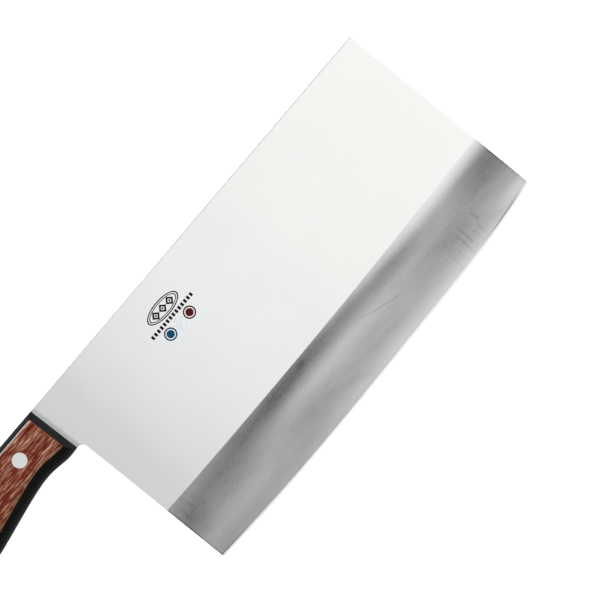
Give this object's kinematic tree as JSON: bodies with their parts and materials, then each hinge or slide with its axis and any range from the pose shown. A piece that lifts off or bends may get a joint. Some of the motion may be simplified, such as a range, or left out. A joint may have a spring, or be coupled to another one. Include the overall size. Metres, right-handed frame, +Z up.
{
  "type": "cleaver",
  "caption": "Broad-bladed kitchen cleaver with a thin hollow-ground blade, a full tang and a riveted laminated handle.",
  "frame": {"origin": "middle of the overall length and depth, on the level of the handle's lower cheek, on which the knife lies", "axes": "+X from the handle to the tip, +Y from the cutting edge to the spine, +Z up out of the right cheek"},
  "size_m": [0.3426, 0.1124, 0.019],
  "materials": {
    "blade_steel": "satin",
    "black_laminate": "satin",
    "red_veneer": "satin",
    "rivet_steel": "satin"
  },
  "bodies": {
    "root": {"blade": "blade_steel", "right_scale_core": "black_laminate", "left_scale_core": "black_laminate", "right_scale_veneer": "red_veneer", "left_scale_veneer": "red_veneer", "front_rivet_stud": "rivet_steel", "front_rivet_sleeve": "rivet_steel", "middle_rivet_stud": "rivet_steel", "middle_rivet_sleeve": "rivet_steel", "rear_rivet_stud": "rivet_steel", "rear_rivet_sleeve": "rivet_steel"}
  },
  "joints": []
}
